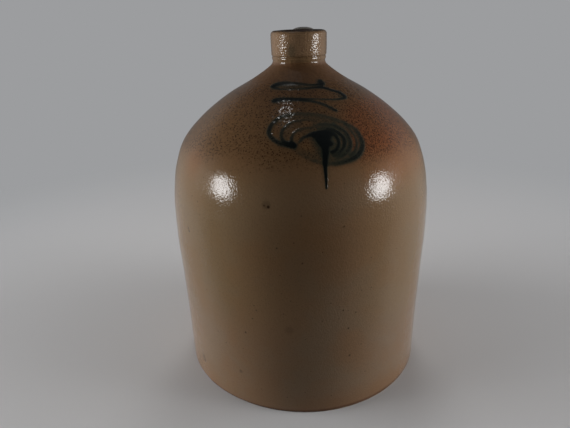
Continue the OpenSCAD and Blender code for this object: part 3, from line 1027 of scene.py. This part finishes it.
def gloss(g):
    """Roughness of the salt glaze, a little duller in patches and round the root of the neck."""
    patches = g.step(g.noise(16, 3, shift=6.0), 0.3, 0.7, 0.11, 0.17)
    return g.plus(patches, g.times(g.band(g.z, 268, 6, FLARE_Z, 4), 0.3))


def washed(g, base):
    """A glaze colour under the thin slip that stained it."""
    streak = g.noise(1.5, 2, 0.6, stretch=(0.5, 0.5, 1.0), shift=7.0)
    share = g.times(g.value("stain"), g.step(streak, 0.3, 0.7, 0.62, 1.0))
    return g.tinted(base, (share, 0.92, SLIP_THIN))


def new_material(name):
    """The node writer of a new material."""
    return Graph(bpy.data.materials.new(name))


def salted(g, base):
    """The finished material of salt glaze over a base colour."""
    return g.output(g.surface(base, gloss(g), glaze_relief(g)))


def salt_glaze(name, stained=False):
    """The glaze of the wall, the shoulder and the neck, the same over their seams."""
    g = new_material(name)
    base = washed(g, speckled(g)) if stained else speckled(g)
    return salted(g, g.mix(marks(g), base, SPECK))


def collar_glaze(name):
    """The glaze of the collar: thin and dark along the lip, dark slip inside the mouth, painted
    paler at the front and dimmer at the sides and back.
    """
    g = new_material(name)
    edge = g.plus(g.z, g.times(g.noise(5, shift=1.0), 1.4))
    base = g.tinted(
        glaze_colour(g),
        # Painted light on the front of the collar and painted shade on its sides and back.
        (g.step(g.z, COLLAR_Z, COLLAR_Z + 3, 0.3, 0.9), 1.0,
         g.mix(g.step(g.y, 2, -18), COLLAR_PAINTED_SHADE, COLLAR_PAINTED_LIGHT)),
        (g.near(-9, 289.0, 1.0, 5.0, (1, 1, 0.7)), 0.5, SLIP_THIN),
        (g.step(edge, JUG_H - 0.6, JUG_H + 0.7), 0.95, SPECK),
        (g.step(g.radius(), MOUTH_R + 3.5, MOUTH_R + 1.0), 1.0, LINING),
        (iron_specks(g), 1.0, SPECK),
    )
    worn_lip = g.step(g.z, JUG_H - 1.4, JUG_H - 0.2, 0.0, 0.45)
    return g.output(g.surface(base, g.plus(gloss(g), worn_lip), glaze_relief(g, 1.2, False)))


def handle_glaze(name):
    """The glaze of the handle: brown under a thin grey on what faces up, partly a bloom of salt and
    partly a painted sheen.
    """
    g = new_material(name)
    streak = g.noise(2.2, stretch=(1, 0.15, 0.15), shift=4.0)
    ragged = g.plus(g.z, g.times(g.noise(6, shift=8.0), 8))
    base = g.tinted(
        g.mix(g.step(g.noise(22, 3), 0.35, 0.65), BROWN, GREY_TAN),
        (g.step(streak, 0.4, 0.7), 0.35, DARK_BROWN),
        # Partly salt bloom, partly painted sheen on the top of the handle.
        (g.step(ragged, 299, 308), 0.6, SALT_BLOOM_AND_SHEEN),
        (g.dots(2.0, 0.16, 0.32, 0.4, 0.5, shift=2.2), 0.6, SPECK),
    )
    return salted(g, base)


def slip_ink(name):
    """Cobalt slip under the glaze: ink-dark where thick, thin and grey-green at its edges."""
    g = new_material(name)
    ragged = g.times(g.math("SUBTRACT", g.noise(1.4, 2, 0.6, shift=7.0), 0.5), 0.36)
    thick = g.plus(g.value("cover"), ragged)
    base = g.tinted(
        washed(g, speckled(g)),
        (g.step(thick, 0.05, 0.55), 0.8, SLIP_THIN),
        (g.step(thick, 0.35, 0.95), 1.0, SLIP_INK),
    )
    return salted(g, base)


def raw_clay(name):
    """Unglazed clay of the foot and the underside, sandy, with a toasted rim that carries painted
    shade along its bottom.
    """
    g = new_material(name)
    glazed = g.step(g.plus(g.z, g.times(g.noise(6, shift=2.5), 0.6)), 0.4, 0.9)
    base = g.tinted(
        g.mix(g.step(g.noise(30, 4, 0.6), 0.35, 0.65), RAW_CLAY, RAW_STAIN),
        (g.dots(1.4, 0.16, 0.30, 0.5, 0.6, shift=1.5), 0.6, SPECK),
        # The glaze on the rim carries the painted shade along the bottom of the foot.
        (glazed, 1.0, speckled(g)),
    )
    roughness = g.math("SUBTRACT", 0.85, g.times(glazed, 0.68))
    return g.output(g.surface(base, roughness, g.bump(g.noise(0.9, 3, 0.7), 0.12, 0.8)))


def lining_glaze(name):
    """Dark brown slip inside, glossy and running in faint sheets."""
    g = new_material(name)
    sheet = g.step(g.noise(14, 3, stretch=(1, 1, 0.3)), 0.35, 0.7)
    return g.output(g.surface(g.mix(sheet, LINING, LINING_THIN), 0.2, glaze_relief(g, 0.6)))


# ---- studio ----

# Height in metres at which the lamps aim
LAMP_AIM = 0.15
# Brightness of the room's sides, of its back and of its ceiling
ROOM_SIDES = 0.42
ROOM_BEHIND = 0.32
CEILING = 0.12
ROOM_TINT = (0.99, 0.99, 1.0, 1.0)
BACKDROP = colour(156, 157, 159)
FLOOR_CLOTH = (0.6, 0.595, 0.6, 1.0)
# Painted shade: the cloth in front of the jug, as seen in reflections and bounced light.
FLOOR_PAINTED_SHADE = (0.05, 0.05, 0.05, 1.0)
# Radius of the floor, and the radii between which it turns into the backdrop
FLOOR_R = 3000
FLOOR_FADE = (280, 780)
# The photograph's camera: focal length and width in pixels, turns and place
VIEW_F = 495.0
VIEW_W = 570.0
SENSOR = 36.0
HALF_PIXEL = 0.5 / VIEW_W
PITCH = math.radians(22.391)
YAW = math.radians(-1.834)
ROLL = math.radians(1.693)
TURN = math.radians(3.6)
CAMERA_BACK = 1.4481 * JUG_H * MM
CAMERA_UP = 1.05 * JUG_H * MM


def build_camera():
    """Camera at the photograph's place, turned with the handle straight behind the jug."""
    data = bpy.data.cameras.new("camera")
    data.sensor_width = SENSOR
    data.lens = SENSOR * VIEW_F / VIEW_W
    data.clip_start = 0.02
    data.shift_x = -HALF_PIXEL
    data.shift_y = HALF_PIXEL
    camera = new_object("camera", data)
    camera.matrix_world = (
        Matrix.Rotation(TURN, 4, "Z")
        @ Matrix.Translation((0, -CAMERA_BACK, CAMERA_UP))
        @ Matrix.Rotation(-YAW, 4, "Z")
        @ Matrix.Rotation(math.pi / 2 - PITCH, 4, "X")
        @ Matrix.Rotation(-ROLL, 4, "Z")
    )
    bpy.context.scene.camera = camera


def lamp(name, azimuth, distance, height, size, watts, glossy=True):
    """Soft oval lamp aimed at the jug, seen in reflections only if glossy; lengths in metres."""
    data = bpy.data.lights.new(name, "AREA")
    data.shape = "ELLIPSE"
    data.size, data.size_y = size
    data.energy = watts
    obj = new_object(name, data)
    a = math.radians(azimuth)
    spot = Vector((distance * math.sin(a), -distance * math.cos(a), height))
    way = Vector((0, 0, LAMP_AIM)) - spot
    obj.matrix_world = Matrix.Translation(spot) @ way.to_track_quat("-Z", "Y").to_matrix().to_4x4()
    obj.visible_glossy = glossy
    obj.visible_camera = False


def build_lamps():
    """Two lamps for the highlights, two on the flanks, a small one overhead and one behind."""
    lamp("lamp_left", -66.0, 2.2, 0.465, (0.76, 0.50), 13.2)
    lamp("lamp_right", 75, 2.2, 0.375, (0.80, 0.52), 14.8)
    lamp("flank_left", -84.5, 2.0, 0.35, (1.2, 0.7), 44.5, glossy=False)
    lamp("flank_right", 89.5, 2.0, 0.35, (1.2, 0.7), 35.5, glossy=False)
    lamp("lamp_top", -130, 0.38, 2.1, (0.05, 0.05), 0.5)
    lamp("lamp_back", 180, 1.5, 1.25, (0.9, 0.9), 8, glossy=False)


def room_light(g, ahead):
    """How bright the room is level with the jug, where ahead is the direction's share of +Y."""
    sides = g.step(ahead, -0.42, 0.1, 0.01, ROOM_SIDES)
    return g.times(sides, g.step(ahead, 0.45, 0.95, 1.0, ROOM_BEHIND))


def surroundings(g, kind, strength):
    """Light of the room, which the camera sees as the plain backdrop."""
    room = g.light(kind, ROOM_TINT, strength)
    return g.blend(g.camera_ray(), room, g.light(kind, BACKDROP, 1.0))


def build_world():
    """Room that is dark in front and above, bright at the sides and dimmer straight behind."""
    world = bpy.data.worlds.new("studio")
    bpy.context.scene.world = world
    g = Graph(world, "Generated", 1.0)
    strength = g.times(room_light(g, g.y), g.step(g.z, 0.25, 0.7, 1.0, CEILING))
    g.output(surroundings(g, "Background", strength), "OutputWorld")


def build_floor():
    """Wide pale floor that turns into the plain backdrop away from the jug; in front of the jug its
    cloth is painted dark as shade for all but the camera.
    """
    rings = np.append(0, np.linspace(100, FLOOR_R, 30))
    azimuths = columns_of(5)
    points = ring_grid(azimuths, rings, np.zeros(len(rings)))
    floor = make_object("floor", points.reshape(-1, 3), band_faces(len(rings), azimuths.size))
    weld(floor)
    g = new_material("floor_cloth")
    radius = g.radius()
    # Painted shade on the cloth in front of the jug, seen in reflections and bounced light but not
    # by the camera.
    cloth = g.mix(g.step(g.y, -160, -60), FLOOR_PAINTED_SHADE, FLOOR_CLOTH)
    near = g.surface(g.mix(g.camera_ray(), cloth, FLOOR_CLOTH), 0.95)
    far = surroundings(g, "Emission", room_light(g, g.math("DIVIDE", g.y, radius)))
    floor.data.materials.append(g.output(g.blend(g.step(radius, *FLOOR_FADE), near, far)))


# ---- assembly ----


def dress(obj, material, node):
    """Gives a piece its finish, and puts it in place of its CAD node."""
    obj.data.materials.clear()
    obj.data.materials.append(material)
    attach(obj, "root")
    if node:
        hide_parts(node)


def build_jug():
    """All the pieces of the jug, each in place of its CAD node."""
    wall = build_wall()
    shoulder = build_shoulder()
    points = np.array([vertex.co for vertex in shoulder.data.vertices]) / MM
    set_values(shoulder, "stain", slip_stain(points))
    dress(build_base(), raw_clay("bare_clay"), "base_floor")
    dress(wall, salt_glaze("glaze_wall"), "body_wall")
    glaze = salt_glaze("glaze_shoulder", stained=True)
    dress(shoulder, glaze, "shoulder_dome")
    dress(build_neck(), salt_glaze("glaze_neck"), "neck_throat")
    dress(build_collar(), collar_glaze("glaze_collar"), "collar_lip")
    handle = handle_glaze("glaze_handle")
    dress(build_strap(), handle, "strap_handle")
    dress(build_root(), handle, "handle_root")
    dress(build_foot(), handle, "handle_foot")
    ink = slip_ink("blue_slip_ink")
    numeral = build_slip("slip_numeral", NUMERAL, (-34, 54, 0.5), (244.5, 270.5, 0.45))
    dress(numeral, ink, None)
    scroll = build_slip("slip_scroll", SCROLL, (-17, 39, 0.25), (198, 251, 0.5))
    dress(scroll, ink, None)
    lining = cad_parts["slip_lining"]
    lining.data.materials.clear()
    lining.data.materials.append(lining_glaze("lining_slip"))


build_camera()
build_lamps()
build_world()
build_floor()
build_jug()

bpy.context.scene.view_settings.view_transform = "Standard"
